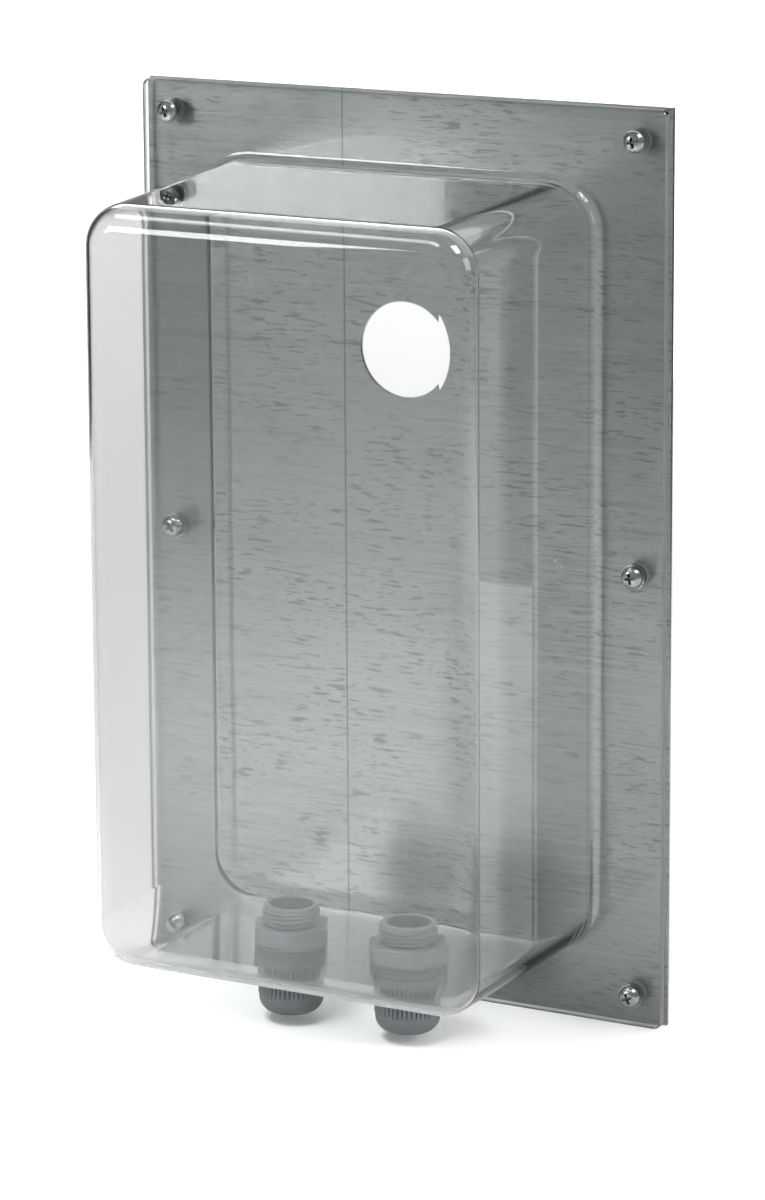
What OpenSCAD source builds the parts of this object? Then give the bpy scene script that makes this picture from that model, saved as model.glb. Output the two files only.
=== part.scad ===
// Wall-mounted clear protective hood on a galvanised back plate, with two cable glands
// in its floor. Millimetres, +Z up, the front faces -Y. The origin is the middle of the
// footprint: left to right the middle of the plate, front to back halfway between the
// wall and the hood's front face, at the height of the plate's lower edge.

/* [Back plate] */
// Width of the plate and of the hood's flange
plate_w = 200; // [196:1:230]
// Height of the plate and of the hood's flange
plate_h = 320; // [312:1:360]
// Thickness of the galvanised sheet
plate_t = 1.5; // [1:0.1:3]
// Diameter of the round window in the plate
window_d = 34; // [12:0.5:60]
// Height of the window's centre above the plate's lower edge
window_z = 230; // [190:1:240]
// Width of each strip that holds the plate off the wall
strip_w = 4; // [3:0.5:4.5]
// Length of each strip
strip_len = 212; // [160:1:220]
// Height of the strips' lower end
strip_z = 15.5; // [4:0.5:20]
// Radius of the strips' rear corners
strip_corner_r = 2.5; // [0.5:0.1:2.8]

/* [Hood] */
// Width of the flange at each side of the box
flange_side_w = 25; // [20:0.5:30]
// Outside height of the box where it meets the flange
hood_h = 270; // [255:1:276]
// Height of the box's middle above the plate's lower edge
hood_z = 159; // [156:0.5:162]
// Depth from the back of the flange to the front face
hood_depth = 98; // [86:1:130]
// Sheet thickness of the hood and its flange
sheet_t = 3; // [2:0.1:3.5]
// Draft of the four walls, in degrees
draft = 2; // [1:0.25:3]
// Outside radius of the edges round the front face
edge_r = 10; // [6:0.5:12]
// Outside corner radius of the box at its front
front_corner_r = 15; // [13:0.5:20]
// Outside corner radius of the box at the flange
base_corner_r = 17; // [14:0.5:20]
// Height of the bevel between box and flange
bead_h = 3.5; // [1:0.1:3.8]
// Corner radius of the flange
flange_corner_r = 3; // [1:0.1:4]

/* [Fixings] */
// Distance of the screws from the plate's edges
screw_inset = 11; // [10:0.1:11.2]
// Nominal diameter of the screws
screw_d = 4; // [3:0.5:4]
// Length of the screws under the head
screw_len = 10; // [9.2:0.1:10.5]
// Diameter of the pan heads
head_d = 7.8; // [6.8:0.1:8.2]
// Height of the pan heads
head_h = 2.9; // [2.4:0.1:3.2]
// Radius of the pan heads' dome
head_dome_r = 5.6; // [5.4:0.1:7]
// Length of the cross recess in the heads
recess_len = 4.4; // [3.4:0.1:5]
// Width of the cross recess
recess_w = 1; // [0.7:0.1:1.3]
// Depth of the cross recess
recess_depth = 1.7; // [1:0.1:1.9]
// Diameter of the washers under the heads
washer_d = 8.6; // [8.2:0.1:9.2]
// Thickness of the washers
washer_t = 0.8; // [0.5:0.1:1]
// Outside diameter of the spacers behind the flange
spacer_d = 8; // [7:0.1:9]
// Distance between the plate and the back of the flange
flange_gap = 2.5; // [2:0.1:3]
// Width across the flats of the nuts
nut_flats = 7; // [6.5:0.1:7.2]
// Height of the nuts, and depth of the strips beside them
nut_h = 3.2; // [3:0.1:4]

/* [Cable glands] */
// Distance between the two glands
gland_pitch = 45.2; // [36:0.2:70]
// Distance of the glands' middle from the plate's middle, positive to the right
gland_shift = 1.8; // [-6:0.1:6]
// Distance of the gland axes in front of the plate
gland_y = 48.4; // [40:0.2:60]
// Outside diameter of the entry thread
entry_d = 20; // [18:0.5:20]
// Pitch of the entry thread
entry_pitch = 1.5; // [1.5:0.1:1.8]
// Number of turns that show on the entry thread
entry_turns = 4; // [3:1:6]
// Height of the thread-free end above the last turn
entry_lip = 1.4; // [1.3:0.1:2.5]
// Bore of the entry
entry_bore = 15; // [13.6:0.1:15]
// Width across the flats of the gland hexagon
hex_flats = 25; // [24:0.2:26]
// Height of the hexagon
hex_h = 5.7; // [4:0.1:7]
// Turn of the left hexagon about its axis, in degrees
hex_turn_left = 56.5; // [0:0.5:60]
// Turn of the right hexagon about its axis, in degrees
hex_turn_right = 2.5; // [0:0.5:60]
// Thickness of the sealing ring under the hood's floor
ring_t = 2.2; // [1.5:0.1:2.5]
// Outside diameter of the sealing ring
ring_d = 23; // [22:0.1:24]
// Length of the cap nut
cap_len = 20.1; // [19.5:0.1:22.5]
// Diameter of the cap nut over its ribs
cap_d = 23.2; // [22.6:0.1:25]
// Number of ribs round the cap nut
cap_ribs = 44; // [24:1:48]
// Radius of the cap nut's rounded end
cap_round = 5.4; // [3:0.1:5.6]
// Thickness of the cap nut's end under the cage
cap_end_t = 4; // [3:0.1:4.5]
// Diameter of the cable hole in the cap nut
cable_hole_d = 11.4; // [9.4:0.1:11.4]
// Bore of the rubber insert
insert_bore = 8.4; // [6:0.1:9]

/* [Clearances] */
// Gap between a hand-turned or lifted piece and its seat
seat_gap = 0.2; // [0.15:0.05:0.3]
// Radial gap between a thread or shaft and its bore
thread_gap = 0.06; // [0.05:0.01:0.1]
// Radial gap of a screw in the sheets
screw_gap = 0.25; // [0.15:0.05:0.4]

/* [Hidden] */
$fn = 64;
eps = 0.01;
over = 1;
front_fn = 40;
wall_y = (nut_h + plate_t + flange_gap + hood_depth) / 2;
hood_w = plate_w - 2 * flange_side_w;
plate_back_y = wall_y - nut_h;
plate_front_y = plate_back_y - plate_t;
flange_back_y = plate_front_y - flange_gap;
flange_front_y = flange_back_y - sheet_t;
hood_front_y = flange_back_y - hood_depth;
screw_x = plate_w / 2 - screw_inset;
screw_low_z = screw_inset;
screw_mid_z = plate_h / 2;
screw_top_z = plate_h - screw_inset;
screw_hole_d = screw_d + 2 * screw_gap;
washer_back_y = flange_front_y - seat_gap;
head_back_y = washer_back_y - washer_t - seat_gap;
edge_y = hood_front_y + edge_r;
draft_run = (flange_front_y - edge_y) * tan(draft);
edge_inset = draft_run + edge_r / cos(draft);
wall_inset = sheet_t / cos(draft);
mouth_grow = (sheet_t + over) * tan(draft);
gland_world_y = plate_front_y - gland_y;
floor_rise = (flange_front_y - gland_world_y) * tan(draft);
floor_top_z = hood_z - hood_h / 2 + floor_rise + wall_inset;
entry_h = entry_turns * entry_pitch + entry_lip;
thread_depth = 0.8;
thread_crest = entry_pitch / 5;
lip_bevel = 0.6;
hex_bevel = 0.4;
sleeve_step = 1;
sleeve_d = entry_d - 2 * sleeve_step;
sleeve_len = 9;
ring_bore = sleeve_d + 2 * seat_gap;
sleeve_end = -sheet_t - sleeve_len;
body_len = entry_h + hex_h - sleeve_end;
floor_hole_d = entry_d + 2 * screw_gap;
cap_top = -sheet_t - ring_t - seat_gap;
cap_end = cap_top - cap_len;
collar_h = 1.6;
rib_h = 11.8;
rib_depth = 0.4;
rib_step = 0.1;
groove_r = 1.5 * rib_depth;
chamber_step = 0.7;
chamber_d = sleeve_d - 2 * chamber_step;
chamber_top = sleeve_end - seat_gap;
chamber_end = cap_end + cap_end_t;
cage_wall = 1.7;
cage_slots = 8;
cage_slot_w = 1.2;
cage_ring_h = 2.5;
cage_top = chamber_top - seat_gap;
cage_end = chamber_end + seat_gap;
cage_h = cage_top - cage_end;
cage_d = chamber_d - 2 * thread_gap;
insert_d = cage_d - 2 * cage_wall - 2 * eps;

// Extrudes a front view, drawn in X and Z, from y towards the front by t.
module slab(y, t) {
  translate([0, y, 0]) rotate([90, 0, 0]) linear_extrude(t) children();
}

// A rod or disc along Y at one screw position, from y towards the front by t.
module at_screw(x, z, y, t) {
  translate([x, y, z]) rotate([90, 0, 0]) linear_extrude(t) children();
}

// Rectangle with exact round corners, centred on its middle.
module round_rect(w, h, r) {
  square([w - 2 * r, h], center = true);
  square([w, h - 2 * r], center = true);
  for (sx = [-1, 1], sz = [-1, 1])
    translate([sx * (w / 2 - r), sz * (h / 2 - r)]) circle(r);
}

// The four screw corners and the two screws halfway up, as holes of diameter d.
module screw_pattern(d) {
  for (sx = [-1, 1], z = [screw_low_z, screw_mid_z, screw_top_z])
    translate([sx * screw_x, z]) circle(d = d);
}

module back_plate() {
  color([0.60, 0.63, 0.63])
  slab(plate_back_y, plate_t) difference() {
    translate([-plate_w / 2, 0]) square([plate_w, plate_h]);
    translate([0, window_z]) circle(d = window_d);
    screw_pattern(screw_hole_d);
  }
}

// Strip along one edge of the plate's back, with rounded rear corners.
module rear_strip(side) {
  flat_z = strip_len - 2 * strip_corner_r;
  color([0.74, 0.75, 0.75])
  translate([side < 0 ? -plate_w / 2 : plate_w / 2 - strip_w, wall_y, strip_z])
  rotate([90, 0, 90]) linear_extrude(strip_w) intersection() {
    translate([-nut_h, 0]) square([nut_h, strip_len]);
    union() {
      translate([-nut_h, 0]) square([nut_h - strip_corner_r, strip_len]);
      translate([-nut_h, strip_corner_r]) square([nut_h, flat_z]);
      for (z = [strip_corner_r, strip_len - strip_corner_r])
        translate([-strip_corner_r, z]) circle(strip_corner_r);
    }
  }
}
module rear_strip_left() { rear_strip(-1); }
module rear_strip_right() { rear_strip(1); }

module nut(side, z) {
  color([0.72, 0.73, 0.74])
  at_screw(side * screw_x, z, wall_y, nut_h) difference() {
    circle(r = nut_flats / 2 / cos(30), $fn = 6);
    circle(r = screw_d / 2 + thread_gap);
  }
}
module nut_top_left() { nut(-1, screw_top_z); }
module nut_top_right() { nut(1, screw_top_z); }
module nut_mid_left() { nut(-1, screw_mid_z); }
module nut_mid_right() { nut(1, screw_mid_z); }
module nut_low_left() { nut(-1, screw_low_z); }
module nut_low_right() { nut(1, screw_low_z); }

// Ring that holds the flange off the plate round one screw.
module spacer(side, z) {
  color([0.86, 0.87, 0.86])
  at_screw(side * screw_x, z, plate_front_y, flange_gap - seat_gap) difference() {
    circle(d = spacer_d);
    circle(d = screw_hole_d);
  }
}
module spacer_top_left() { spacer(-1, screw_top_z); }
module spacer_top_right() { spacer(1, screw_top_z); }
module spacer_mid_left() { spacer(-1, screw_mid_z); }
module spacer_mid_right() { spacer(1, screw_mid_z); }
module spacer_low_left() { spacer(-1, screw_low_z); }
module spacer_low_right() { spacer(1, screw_low_z); }

// Rounded front edge of the box, pulled in from the outside by inset.
module box_front(inset) {
  ring_r = front_corner_r - edge_r;
  cx = hood_w / 2 - edge_inset - ring_r;
  cz = hood_h / 2 - edge_inset - ring_r;
  for (sx = [-1, 1], sz = [-1, 1])
    translate([sx * cx, edge_y, hood_z + sz * cz]) rotate([90, 0, 0])
      rotate_extrude($fn = front_fn) translate([ring_r, 0]) intersection() {
        circle(edge_r - inset, $fn = front_fn);
        translate([-ring_r, -edge_r]) square([edge_r + ring_r, 2 * edge_r]);
      }
}

// Thin rounded outline of the box at depth y, grown by grow on every side.
module box_outline(y, grow) {
  r = base_corner_r + grow;
  cx = hood_w / 2 - base_corner_r;
  cz = hood_h / 2 - base_corner_r;
  for (sx = [-1, 1], sz = [-1, 1])
    translate([sx * cx, y, hood_z + sz * cz]) rotate([90, 0, 0]) cylinder(r = r, h = eps, $fn = front_fn);
}

module box_outside() {
  hull() {
    box_front(0);
    box_outline(flange_front_y + eps, 0);
  }
  hull() {
    box_outline(flange_front_y + eps, bead_h);
    box_outline(flange_front_y - bead_h, -bead_h * tan(draft));
  }
}

module box_inside() {
  hull() {
    box_front(sheet_t);
    box_outline(flange_back_y + over, mouth_grow - wall_inset);
  }
}

// Places its children on one gland axis, with z = 0 on the hood's floor inside.
module on_gland(side) {
  translate([gland_shift + side * gland_pitch / 2, gland_world_y, floor_top_z])
    rotate([-draft, 0, 0]) children();
}

module hood() {
  color([0.86, 0.90, 0.90, 0.35])
  difference() {
    union() {
      slab(flange_back_y, sheet_t) difference() {
        translate([0, plate_h / 2]) round_rect(plate_w, plate_h, flange_corner_r);
        screw_pattern(screw_hole_d);
      }
      box_outside();
    }
    box_inside();
    for (side = [-1, 1]) on_gland(side)
      translate([0, 0, -2 * sheet_t]) cylinder(d = floor_hole_d, h = 3 * sheet_t);
  }
}

module washer(side, z) {
  color([0.80, 0.81, 0.82])
  at_screw(side * screw_x, z, washer_back_y, washer_t) difference() {
    circle(d = washer_d);
    circle(r = screw_d / 2 + thread_gap);
  }
}
module washer_top_left() { washer(-1, screw_top_z); }
module washer_top_right() { washer(1, screw_top_z); }
module washer_mid_left() { washer(-1, screw_mid_z); }
module washer_mid_right() { washer(1, screw_mid_z); }
module washer_low_left() { washer(-1, screw_low_z); }
module washer_low_right() { washer(1, screw_low_z); }

// Pan-head screw with a cross recess, turned by spin degrees.
module screw(side, z, spin) {
  color([0.82, 0.83, 0.84])
  translate([side * screw_x, head_back_y, z]) rotate([90, 0, 0]) {
    difference() {
      rotate_extrude() intersection() {
        square([head_d / 2, head_h]);
        translate([0, head_h - head_dome_r]) circle(head_dome_r, $fn = 96);
      }
      rotate([0, 0, spin]) for (a = [0, 90]) rotate([0, 0, a])
        translate([-recess_len / 2, -recess_w / 2, head_h - recess_depth])
          cube([recess_len, recess_w, head_h]);
    }
    translate([0, 0, -screw_len]) cylinder(d = screw_d, h = screw_len + eps);
  }
}
module screw_top_left() { screw(-1, screw_top_z, 20); }
module screw_top_right() { screw(1, screw_top_z, 12); }
module screw_mid_left() { screw(-1, screw_mid_z, 35); }
module screw_mid_right() { screw(1, screw_mid_z, 8); }
module screw_low_left() { screw(-1, screw_low_z, 50); }
module screw_low_right() { screw(1, screw_low_z, 22); }

// Threaded entry above the hexagon, drawn as rings at the thread's pitch.
module entry_profile() {
  r = entry_d / 2;
  root = r - thread_depth;
  bore = entry_bore / 2;
  top = hex_h + entry_h;
  translate([bore, hex_h - eps]) square([root - bore, entry_h - lip_bevel + eps]);
  for (i = [0 : entry_turns - 1])
    translate([0, hex_h + i * entry_pitch]) polygon([[root - eps, 0], [r, (entry_pitch - thread_crest) / 2],
      [r, (entry_pitch + thread_crest) / 2], [root - eps, entry_pitch]]);
  polygon([[bore, top - entry_lip], [r - lip_bevel, top - entry_lip], [r - lip_bevel, top - lip_bevel],
    [r - 2 * lip_bevel, top], [bore + lip_bevel, top], [bore, top - lip_bevel]]);
}

module gland_body(side, turn) {
  corner_r = hex_flats / 2 / cos(30);
  chamfer_z = hex_h - hex_bevel - over / 2;
  color([0.56, 0.58, 0.59])
  on_gland(side) difference() {
    union() {
      rotate_extrude() entry_profile();
      intersection() {
        rotate([0, 0, turn]) linear_extrude(hex_h) circle(corner_r, $fn = 6);
        rotate_extrude() polygon([[0, 0], [corner_r + over, 0], [corner_r + over, chamfer_z],
          [corner_r - 2 * hex_bevel, hex_h], [0, hex_h]]);
      }
      translate([0, 0, -sheet_t]) cylinder(d = entry_d, h = sheet_t + eps);
      translate([0, 0, sleeve_end]) cylinder(d = sleeve_d, h = sleeve_len + eps);
    }
    translate([0, 0, sleeve_end - over]) cylinder(d = entry_bore, h = body_len + 2 * over);
  }
}
module gland_body_left() { gland_body(-1, hex_turn_left); }
module gland_body_right() { gland_body(1, hex_turn_right); }

module gland_ring(side) {
  color([0.46, 0.48, 0.49])
  on_gland(side) translate([0, 0, -sheet_t - ring_t]) difference() {
    cylinder(d = ring_d, h = ring_t);
    translate([0, 0, -over]) cylinder(d = ring_bore, h = ring_t + 2 * over);
  }
}
module gland_ring_left() { gland_ring(-1); }
module gland_ring_right() { gland_ring(1); }

// Slotted cage that the cap nut squeezes onto the rubber insert.
module clamp_cage(side) {
  color([0.60, 0.62, 0.62])
  on_gland(side) difference() {
    translate([0, 0, cage_end]) cylinder(d = cage_d, h = cage_h);
    translate([0, 0, cage_end - over]) cylinder(d = cage_d - 2 * cage_wall, h = cage_h + 2 * over);
    for (i = [0 : cage_slots - 1]) rotate([0, 0, i * 360 / cage_slots])
      translate([insert_d / 2 - over, -cage_slot_w / 2, cage_end - over])
        cube([cage_wall + 2 * over, cage_slot_w, cage_h + over - cage_ring_h]);
  }
}
module clamp_cage_left() { clamp_cage(-1); }
module clamp_cage_right() { clamp_cage(1); }

module rubber_insert(side) {
  color([0.20, 0.21, 0.21])
  on_gland(side) difference() {
    translate([0, 0, cage_end]) cylinder(d = insert_d, h = cage_h);
    translate([0, 0, cage_end - over]) cylinder(d = insert_bore, h = cage_h + 2 * over);
  }
}
module rubber_insert_left() { rubber_insert(-1); }
module rubber_insert_right() { rubber_insert(1); }

// Ribbed cap nut with a rounded end, open for the cable.
module cap_nut(side) {
  r = cap_d / 2;
  smooth_r = r - rib_depth - rib_step;
  color([0.56, 0.58, 0.59])
  on_gland(side) difference() {
    union() {
      translate([0, 0, cap_top - collar_h]) cylinder(r = r, h = collar_h);
      translate([0, 0, cap_top - collar_h - rib_h]) linear_extrude(rib_h + eps) difference() {
        circle(r);
        for (i = [0 : cap_ribs - 1])
          rotate(i * 360 / cap_ribs) translate([r + groove_r - rib_depth, 0]) circle(groove_r, $fn = 16);
      }
      translate([0, 0, cap_end]) rotate_extrude() {
        square([smooth_r - cap_round, cap_len - collar_h]);
        translate([0, cap_round]) square([smooth_r, cap_len - collar_h - cap_round]);
        translate([smooth_r - cap_round, cap_round]) circle(cap_round);
      }
    }
    translate([0, 0, chamber_top]) cylinder(r = sleeve_d / 2 + thread_gap, h = cap_len);
    translate([0, 0, chamber_end]) cylinder(d = chamber_d, h = chamber_top - chamber_end + eps);
    translate([0, 0, cap_end - over]) cylinder(d = cable_hole_d, h = cap_len);
  }
}
module cap_nut_left() { cap_nut(-1); }
module cap_nut_right() { cap_nut(1); }

back_plate();
rear_strip_left();
rear_strip_right();
nut_top_left();
nut_top_right();
nut_mid_left();
nut_mid_right();
nut_low_left();
nut_low_right();
spacer_top_left();
spacer_top_right();
spacer_mid_left();
spacer_mid_right();
spacer_low_left();
spacer_low_right();
hood();
washer_top_left();
washer_top_right();
washer_mid_left();
washer_mid_right();
washer_low_left();
washer_low_right();
screw_top_left();
screw_top_right();
screw_mid_left();
screw_mid_right();
screw_low_left();
screw_low_right();
gland_body_left();
gland_body_right();
gland_ring_left();
gland_ring_right();
clamp_cage_left();
clamp_cage_right();
rubber_insert_left();
rubber_insert_right();
cap_nut_left();
cap_nut_right();
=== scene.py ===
"""Looks for a clear protective hood on a galvanised back plate, laid out as a Blender add-on."""

import math

import bmesh
import bpy
from bpy.props import BoolProperty, FloatProperty, FloatVectorProperty, IntProperty, PointerProperty
from mathutils import Matrix, Vector


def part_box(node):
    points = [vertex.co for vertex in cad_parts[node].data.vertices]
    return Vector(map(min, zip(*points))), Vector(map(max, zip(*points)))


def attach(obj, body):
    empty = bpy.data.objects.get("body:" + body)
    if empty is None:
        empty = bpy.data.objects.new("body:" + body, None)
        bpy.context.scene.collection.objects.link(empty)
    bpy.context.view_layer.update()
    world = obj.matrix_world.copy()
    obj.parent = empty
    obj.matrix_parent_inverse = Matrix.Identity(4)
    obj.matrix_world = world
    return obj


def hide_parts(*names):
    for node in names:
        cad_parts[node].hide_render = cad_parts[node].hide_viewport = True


bl_info = {
    "name": "Clear Protective Hood",
    "version": (1, 0, 0),
    "blender": (4, 5, 0),
    "location": "View3D > Sidebar > Clear Hood",
    "description": "Dresses the hood, its back plate, screws and cable glands",
    "category": "Object",
}

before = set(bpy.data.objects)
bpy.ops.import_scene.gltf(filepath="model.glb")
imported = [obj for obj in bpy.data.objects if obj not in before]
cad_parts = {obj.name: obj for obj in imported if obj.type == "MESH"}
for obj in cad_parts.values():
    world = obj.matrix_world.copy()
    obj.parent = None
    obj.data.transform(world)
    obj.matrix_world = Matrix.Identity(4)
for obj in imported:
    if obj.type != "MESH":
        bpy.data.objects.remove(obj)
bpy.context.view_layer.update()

SIDES = ("left", "right")
CORNERS = [(row, side) for row in ("top", "mid", "low") for side in SIDES]
HOOD_LOW, HOOD_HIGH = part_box("hood")
PLATE_LOW, PLATE_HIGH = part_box("back_plate")
FLANGE_BACK_Y = HOOD_HIGH.y
FRONT_Y = HOOD_LOW.y

IMAGE_WIDTH, IMAGE_HEIGHT = 765, 1200
SHEET_IOR = 1.5
RIM_WIDTH = 0.0003  # faces this near to the flange's outline are its sawn rim
RING_HALF = 0.0011  # half the thickness of a sealing ring
# Angles of the screws' recesses and of the glands' hexagons, in degrees, as they were left when tightened.
RECESS_TURNS = {
    "top_left": 20, "top_right": 12, "mid_left": 35, "mid_right": 8, "low_left": 50, "low_right": 22,
}
HEX_TURNS = {"left": 56.5, "right": 2.5}
# The cross recess from its bottom up: height over the head's top, half length and half width of an arm.
RECESS_STEPS = ((-0.0018, 0.0007, 0.00028), (-0.0008, 0.0017, 0.00040), (0.0005, 0.00225, 0.00056))


# Sizes and colours.


class HoodSettings(bpy.types.PropertyGroup):
    """Sizes and finish of the clear hood."""

    width: FloatProperty(
        name="Box Width", description="Outside width of the box at the flange", default=0.150, unit="LENGTH"
    )
    height: FloatProperty(
        name="Box Height", description="Outside height of the box at the flange", default=0.270, unit="LENGTH"
    )
    middle: FloatProperty(
        name="Box Middle", description="Height of the box's middle over the plate's lower edge",
        default=0.159, unit="LENGTH",
    )
    sheet: FloatProperty(
        name="Sheet", description="Thickness of the clear sheet", default=0.003, unit="LENGTH"
    )
    drawn_sheet: FloatProperty(
        name="Drawn Sheet", description="Thickness at the front, where forming stretched the sheet most",
        default=0.0012, min=0.0005, unit="LENGTH",
    )
    draft: FloatProperty(
        name="Draft", description="Lean of the four walls", default=math.radians(2), subtype="ANGLE"
    )
    edge_radius: FloatProperty(
        name="Edge Radius", description="Outside radius of the edges round the front", default=0.010,
        unit="LENGTH",
    )
    front_corner: FloatProperty(
        name="Front Corner", description="Outside corner radius at the front", default=0.015, unit="LENGTH"
    )
    base_corner: FloatProperty(
        name="Base Corner", description="Outside corner radius at the flange", default=0.017, unit="LENGTH"
    )
    fillet: FloatProperty(
        name="Flange Fillet", description="Hollow radius where the box meets the flange", default=0.0026,
        unit="LENGTH",
    )
    flange_corner: FloatProperty(
        name="Flange Corner", description="Corner radius of the flange", default=0.003, unit="LENGTH"
    )
    screw_hole: FloatProperty(
        name="Screw Hole", description="Diameter of the holes in the flange", default=0.0045, unit="LENGTH"
    )
    gland_hole: FloatProperty(
        name="Gland Hole", description="Diameter of the holes in the floor", default=0.0205, unit="LENGTH"
    )
    tint: FloatVectorProperty(
        name="Tint", description="Colour of the light that passes one surface of the sheet",
        default=(0.87, 0.876, 0.875), size=3, subtype="COLOR", min=0, max=1,
    )
    wave: FloatProperty(
        name="Wave", description="Unevenness of the formed sheet", default=0.10, min=0, max=1,
        subtype="FACTOR",
    )


class PlateSettings(bpy.types.PropertyGroup):
    """Finish of the galvanised plate and of the strips behind it."""

    zinc: FloatVectorProperty(
        name="Zinc", description="Colour of the galvanised sheet", default=(0.262, 0.278, 0.280), size=3,
        subtype="COLOR", min=0, max=1,
    )
    roughness: FloatProperty(
        name="Roughness", description="Roughness of the zinc", default=0.31, min=0, max=1, subtype="FACTOR"
    )
    streaks: FloatProperty(
        name="Rolling Marks", description="Strength of the short dark rolling marks", default=0.55,
        min=0, max=1, subtype="FACTOR",
    )
    score_x: FloatProperty(
        name="Score Line", description="Place of the thin upright line on the sheet", default=-0.0232,
        unit="LENGTH",
    )
    strip: FloatVectorProperty(
        name="Strip", description="Colour of the strips behind the plate", default=(0.82, 0.84, 0.84), size=3,
        subtype="COLOR", min=0, max=1,
    )


class FixingSettings(bpy.types.PropertyGroup):
    """Sizes and finish of the screws."""

    head: FloatProperty(name="Head", description="Diameter of the pan head", default=0.0078, unit="LENGTH")
    head_height: FloatProperty(
        name="Head Height", description="Height of the pan head", default=0.0029, unit="LENGTH"
    )
    shank: FloatProperty(name="Shank", description="Diameter over the thread", default=0.004, unit="LENGTH")
    length: FloatProperty(name="Length", description="Length under the head", default=0.010, unit="LENGTH")
    pitch: FloatProperty(name="Pitch", description="Pitch of the thread", default=0.0007, unit="LENGTH")
    zinc: FloatVectorProperty(
        name="Plating", description="Colour of the bright zinc plating", default=(0.40, 0.425, 0.43), size=3,
        subtype="COLOR", min=0, max=1,
    )
    # The spacers' colour is painted shade: it is kept dark to stand in for the shadow behind the screw heads,
    # not the spacers' own colour.
    spacer: FloatVectorProperty(
        name="Spacer", description="Colour of the spacers behind the flange", default=(0.17, 0.18, 0.18),
        size=3, subtype="COLOR", min=0, max=1,
    )


class GlandSettings(bpy.types.PropertyGroup):
    """Sizes and finish of the cable glands."""

    entry: FloatProperty(
        name="Entry", description="Diameter over the entry thread", default=0.020, unit="LENGTH"
    )
    pitch: FloatProperty(name="Pitch", description="Pitch of the entry thread", default=0.0015, unit="LENGTH")
    turns: IntProperty(name="Turns", description="Turns of the entry thread", default=4, min=1, max=8)
    lip: FloatProperty(name="Lip", description="Plain end above the thread", default=0.0014, unit="LENGTH")
    bore: FloatProperty(name="Bore", description="Bore of the entry", default=0.015, unit="LENGTH")
    hex_flats: FloatProperty(
        name="Hexagon", description="Width across the flats", default=0.025, unit="LENGTH"
    )
    hex_height: FloatProperty(
        name="Hexagon Height", description="Height of the hexagon", default=0.0057, unit="LENGTH"
    )
    ribs: IntProperty(name="Ribs", description="Ribs round each cap nut", default=44, min=8, max=80)
    rib_depth: FloatProperty(
        name="Rib Depth", description="Depth between the ribs", default=0.0011, unit="LENGTH"
    )
    grey: FloatVectorProperty(
        name="Grey", description="Colour of the moulded glands", default=(0.170, 0.190, 0.195), size=3,
        subtype="COLOR", min=0, max=1,
    )
    seal: FloatVectorProperty(
        name="Seal", description="Colour of the sealing rings", default=(0.13, 0.145, 0.15), size=3,
        subtype="COLOR", min=0, max=1,
    )


class StageSettings(bpy.types.PropertyGroup):
    """Floor, light and camera."""

    floor: FloatVectorProperty(
        name="Floor", description="Colour of the floor", default=(0.78, 0.78, 0.78), size=3, subtype="COLOR",
        min=0, max=1,
    )
    surround: FloatProperty(name="Surround", description="Brightness of the room", default=0.35, min=0)
    ceiling: FloatProperty(
        name="Ceiling", description="Power of the wide light overhead", default=130.0, min=0
    )
    pool: FloatProperty(
        name="Pool", description="Power of the light over the floor in front", default=2.1, min=0
    )
    fill: FloatProperty(name="Fill", description="Power of the light at the right", default=6.0, min=0)
    key: FloatProperty(name="Key", description="Power of the light in front, at the left", default=7.5, min=0)
    top: FloatProperty(name="Top", description="Power of the small light over the hood", default=6.0, min=0)
    sweep: BoolProperty(name="Sweep", description="Curve the floor up behind the object", default=True)


class ClearHoodSettings(bpy.types.PropertyGroup):
    """All that a user may change."""

    hood: PointerProperty(type=HoodSettings)
    plate: PointerProperty(type=PlateSettings)
    fixing: PointerProperty(type=FixingSettings)
    gland: PointerProperty(type=GlandSettings)
    stage: PointerProperty(type=StageSettings)


# Mesh helpers.


def add_object(name, mesh):
    """Links a new object that shows mesh."""
    piece = bpy.data.objects.new(name, mesh)
    bpy.context.scene.collection.objects.link(piece)
    return piece


def mesh_from_rings(name, rings, closed=False):
    """A closed mesh through rings of equal length: capped at both ends, or joined end to end."""
    count = len(rings[0])
    verts = [point for ring in rings for point in ring]
    faces = []
    pairs = list(zip(range(len(rings) - 1), range(1, len(rings))))
    if closed:
        pairs.append((len(rings) - 1, 0))
    for a, b in pairs:
        for i in range(count):
            j = (i + 1) % count
            faces.append((a * count + i, a * count + j, b * count + j, b * count + i))
    if not closed:
        faces.append(tuple(reversed(range(count))))
        faces.append(tuple((len(rings) - 1) * count + i for i in range(count)))
    mesh = bpy.data.meshes.new(name)
    mesh.from_pydata([tuple(v) for v in verts], [], faces)
    grid = bmesh.new()
    grid.from_mesh(mesh)
    bmesh.ops.recalc_face_normals(grid, faces=grid.faces)
    grid.to_mesh(mesh)
    grid.free()
    return mesh


def lathe(name, profile, segments=96):
    """Turns a closed outline of (radius, height) about Z. radius may be a function of the angle."""
    rings = []
    for radius, height in profile:
        ring = []
        for i in range(segments):
            angle = 2 * math.pi * i / segments
            r = radius(angle) if callable(radius) else radius
            ring.append((r * math.cos(angle), r * math.sin(angle), height))
        rings.append(ring)
    return mesh_from_rings(name, rings, closed=True)


def disc(name, radius, low, high, segments=64):
    """A plain round cutter about Z."""
    rings = [
        [
            (radius * math.cos(2 * math.pi * i / segments), radius * math.sin(2 * math.pi * i / segments), z)
            for i in range(segments)
        ]
        for z in (low, high)
    ]
    return mesh_from_rings(name, rings)


def bake(piece):
    """Puts what the modifiers make into the piece's own mesh."""
    graph = bpy.context.evaluated_depsgraph_get()
    mesh = bpy.data.meshes.new_from_object(piece.evaluated_get(graph))
    old = piece.data
    piece.modifiers.clear()
    piece.data = mesh
    bpy.data.meshes.remove(old)


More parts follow.
